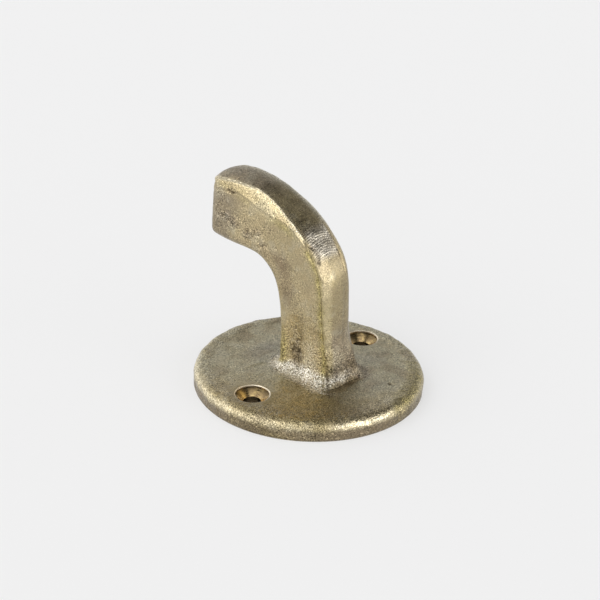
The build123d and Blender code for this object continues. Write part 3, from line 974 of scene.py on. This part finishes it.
# the lip: painted highlight of the burr catching light
col = g.mix(lip, col, (0.860, 0.770, 0.610))
nt.links.new(col, bs.inputs["Base Color"])
bs.inputs["Metallic"].default_value = 1.0
nt.links.new(g.add(g.step(n_film, 0.30, 0.70, 0.15, 0.27), g.mul(lip, 0.28)), bs.inputs["Roughness"])
hgt = g.add(g.mul(rings, 0.045), g.mul(g.noise(0.5, 2, 0.5), 0.012))
nt.links.new(g.bump(hgt), bs.inputs["Normal"])

# the ground back: flat, brighter, with the long scratches of a belt
mat_back, nt, bs = material("ground_brass")
g = Graph(nt)
n_film = g.noise(9.0, 3, 0.6, 0.5)
belt = g.noise(0.30, 2, 0.6, 0.0, (0.03, 1.0, 1.0))
belt2 = g.noise(0.85, 2, 0.6, 0.0, (0.05, 1.0, 1.0))
col = g.mix(g.step(n_film, 0.35, 0.68), (0.560, 0.450, 0.260), (0.440, 0.350, 0.210))
col = g.mix(g.step(belt2, 0.52, 0.72, 0.0, 0.45), col, (0.330, 0.260, 0.160))
nt.links.new(col, bs.inputs["Base Color"])
bs.inputs["Metallic"].default_value = 1.0
nt.links.new(g.step(belt, 0.30, 0.70, 0.27, 0.44), bs.inputs["Roughness"])
nt.links.new(g.bump(g.add(g.mul(belt, 0.030), g.mul(belt2, 0.030))), bs.inputs["Normal"])

for m in (mat_cast, mat_cut, mat_back):
    mesh.materials.append(m)
_face_row = np.concatenate([np.repeat(np.arange(1, K), N), np.zeros(N, int), np.full(N, K - 1)])
mesh.polygons.foreach_set("material_index", np.where(ZONE[_face_row, 0] >= 6, 2, 0).astype(np.int32))


# ------------------------------------------------------------ drilling
def cutter(name, xc, recess, mouth, wall, seat):
    """A lathe-turned tool: half-profile (r, z) spun about the hole's axis."""
    prof = [(0, 6.5), (mouth + 1.6, 6.5), (mouth, PLATE_T + 0.015), (recess + 0.09, PLATE_T - 0.07),
            (recess, PLATE_T - 0.17), (recess, PLATE_T - wall), (BORE, PLATE_T - wall - seat),
            (BORE, PLATE_T - wall - seat - 0.12), (BORE, -1.5), (0, -1.5)]
    n = 96
    vs, fs = [], []
    ring = []
    for r, zz in prof:
        if r == 0:
            vs.append((xc, 0, zz))
            ring.append([len(vs) - 1] * n)
        else:
            st = len(vs)
            for i in range(n):
                a = 2 * math.pi * i / n
                vs.append((xc + r * math.cos(a), r * math.sin(a), zz))
            ring.append(list(range(st, st + n)))
    for p0, p1 in zip(ring[:-1], ring[1:]):
        for i in range(n):
            q = [p0[i], p1[i], p1[(i + 1) % n], p0[(i + 1) % n]]
            q = [q[t] for t in range(4) if q[t] != q[t - 1]]
            fs.append(q)
    me = bpy.data.meshes.new(name)
    me.from_pydata([(a * 0.001, b * 0.001, c * 0.001) for a, b, c in vs], [], fs)
    me.update()
    import bmesh
    bm = bmesh.new()
    bm.from_mesh(me)
    bmesh.ops.recalc_face_normals(bm, faces=bm.faces)
    bm.to_mesh(me)
    bm.free()
    me.materials.append(mat_cut)
    ob = bpy.data.objects.new(name, me)
    bpy.context.scene.collection.objects.link(ob)
    return ob


HOLES = [(-HOLE_X, 3.98, 4.21, 0.62, 1.33), (HOLE_X, 3.98, 4.21, 0.78, 1.36)]     # x, recess, mouth, wall, seat
BORE = 2.05
tools = [cutter("tool_%d" % i, *spec) for i, spec in enumerate(HOLES)]
for t in tools:
    mod = hook.modifiers.new("drill", "BOOLEAN")
    mod.operation = "DIFFERENCE"
    mod.solver = "EXACT"
    mod.object = t
    mod.material_mode = "TRANSFER"
dg = bpy.context.evaluated_depsgraph_get()
done = bpy.data.meshes.new_from_object(hook.evaluated_get(dg), depsgraph=dg)
hook.modifiers.clear()
hook.data = done
for t in tools:
    me = t.data
    bpy.data.objects.remove(t)
    bpy.data.meshes.remove(me)
mesh = hook.data
mesh.name = "hook_casting"
for p in mesh.polygons:
    p.use_smooth = True

# carry the masks over from the sculpted points to the drilled mesh
tree = kdtree.KDTree(K * N)
for i, co in enumerate((G1.reshape(-1, 3) * 0.001).tolist()):
    tree.insert(co, i)
tree.balance()
src = np.array([tree.find(v.co)[1] for v in mesh.vertices])
for name, field in MASK.items():
    at = mesh.attributes.new(name, "FLOAT", "POINT")
    at.data.foreach_set("value", np.ascontiguousarray(field.reshape(-1)[src], dtype=np.float32))
# the lip of each screw hole, made pale as a painted highlight of its burr; its upper wall, darkened as painted
# shadow; its bore, darkened as painted shade
co = np.empty(len(mesh.vertices) * 3, np.float32)
mesh.vertices.foreach_get("co", co)
co = co.reshape(-1, 3) * 1000.0
for name in ("lip", "wall", "bore"):
    at = mesh.attributes.new(name, "FLOAT", "POINT")
    val = np.zeros(len(co), np.float32)
    for xc, recess, mouth, wall_h, seat in HOLES:
        r = np.hypot(co[:, 0] - xc, co[:, 1])
        if name == "lip":
            val[(r > recess - 0.03) & (r < mouth + 0.12) & (co[:, 2] > PLATE_T - wall_h + 0.2)] = 1.0
        elif name == "bore":
            val[(r < BORE + 0.03) & (co[:, 2] < PLATE_T - wall_h - seat - 0.02)] = 1.0
        else:
            val[(r > recess - 0.03) & (r < recess + 0.02)] = 1.0
    at.data.foreach_set("value", val)
mesh.set_sharp_from_angle(angle=math.radians(38))
print("materials", [m.name for m in mesh.materials], "faces", len(mesh.polygons))

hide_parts("hook")
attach(hook, "root")

# ------------------------------------------------------------ floor, light, camera
FLOOR_GLOW = 0.585
fm = bpy.data.meshes.new("floor")
fm.from_pydata([(-4, -4, 0), (4, -4, 0), (4, 4, 0), (-4, 4, 0)], [], [(0, 1, 2, 3)])
floor = bpy.data.objects.new("floor", fm)
bpy.context.scene.collection.objects.link(floor)
mf, ntf, bf = material("floor_paper")
bf.inputs["Base Color"].default_value = (0.30, 0.30, 0.301, 1)
bf.inputs["Roughness"].default_value = 0.9
bf.inputs["Specular IOR Level"].default_value = 0.1
bf.inputs["Emission Color"].default_value = (1, 1, 1, 1)
bf.inputs["Emission Strength"].default_value = FLOOR_GLOW
fm.materials.append(mf)

CAM = Vector((-0.23321, -0.19663, 0.17087))
R2 = (0.66, -0.75, 0.04)
PHI = 0.8612
PITCH, ROLL = 0.4541, 0.0398
LENS = 1450 / 600 * 36


def world_to_row(v):
    c, s = math.cos(PHI), math.sin(PHI)
    return Vector((v[0] * c + v[1] * s, -v[0] * s + v[1] * c, v[2]))


def camera():
    cp, sp = math.cos(PITCH), math.sin(PITCH)
    fwd = Vector((0, cp, -sp))
    up = Vector((0, sp, cp))
    right = Vector((1, 0, 0))
    cr, sr = math.cos(ROLL), math.sin(ROLL)
    r2 = cr * right + sr * up
    u2 = -sr * right + cr * up
    X, Y, Z = world_to_row(r2), world_to_row(u2), -world_to_row(fwd)
    cam = bpy.data.cameras.new("camera")
    cam.sensor_fit = "HORIZONTAL"
    cam.sensor_width = 36
    cam.lens = LENS
    cam.clip_start = 0.01
    ob = bpy.data.objects.new("camera", cam)
    M = Matrix((
        (X.x, Y.x, Z.x, CAM.x), (X.y, Y.y, Z.y, CAM.y), (X.z, Y.z, Z.z, CAM.z), (0, 0, 0, 1)))
    ob.matrix_world = M
    bpy.context.scene.collection.objects.link(ob)
    bpy.context.scene.camera = ob
    return ob


camera()


# Soft studio light, all of it in the world: a pale backdrop that darkens upwards,
# broad low panels left and right, and one high softbox at the front left.
w = bpy.data.worlds.new("studio")
bpy.context.scene.world = w
w.use_nodes = True
nt = w.node_tree
bg = nt.nodes["Background"]
g = Graph(nt)
toward = nt.nodes.new("ShaderNodeTexCoord").outputs["Generated"]


def along(v):
    n = nt.nodes.new("ShaderNodeVectorMath")
    n.operation = "DOT_PRODUCT"
    nt.links.new(toward, n.inputs[0])
    n.inputs[1].default_value = v
    return n.outputs["Value"]


_right = world_to_row((1, 0, 0))
_ahead = world_to_row((0, 1, 0))
az = g.mul(g.math("ARCTAN2", along(_right), along(_ahead)), 180 / math.pi)      # 0 behind the object, 90 right
el = g.mul(g.math("ARCSINE", along((0, 0, 1))), 180 / math.pi)


def panel(az0, az_half, az_soft, el_lo, el_hi, el_soft, power):
    """A soft-edged patch of light; angles in degrees."""
    off = g.math("ABSOLUTE", g.math("SUBTRACT", az, az0))
    off = g.math("MINIMUM", off, g.math("SUBTRACT", 360.0, off))
    a = g.step(off, az_half, az_half + az_soft, 1.0, 0.0)
    lo = g.step(el, el_lo - el_soft, el_lo, 0.0, 1.0) if el_lo > -20 else 1.0
    hi = g.step(el, el_hi, el_hi + el_soft, 1.0, 0.0)
    return g.mul(g.mul(a, power), g.mul(lo, hi))


LIGHTS = [
    # azimuth, half width, soft edge, from, to, soft edge, power
    (-75, 42, 22, -90, 10, 16, 1.45),
    (95, 30, 20, -90, 12, 14, 1.35),
    (121, 14, 20, -90, 36, 18, 1.25),
    (-135, 18, 24, 32, 58, 12, 2.05),
    (-30, 14, 26, 36, 56, 14, 0.90),
    (-150, 20, 30, 22, 36, 12, 0.70),
    (180, 45, 30, -90, 22, 12, 0.62),
    (-95, 20, 22, 30, 54, 12, 0.85),
    (40, 30, 30, -90, 26, 14, 0.12),
]
level = g.step(el, -5.0, 34.0, 0.68, 0.34)
level = g.math("SUBTRACT", level, g.step(el, 32.0, 58.0, 0.0, 0.29))
for spec in LIGHTS:
    level = g.add(level, panel(*spec))
level = g.add(level, g.step(el, 68.0, 80.0, 0.0, 1.2))                     # a small softbox right overhead
nt.links.new(level, bg.inputs["Strength"])
bg.inputs["Color"].default_value = (1, 1, 1, 1)
bpy.context.scene.view_settings.view_transform = "Standard"
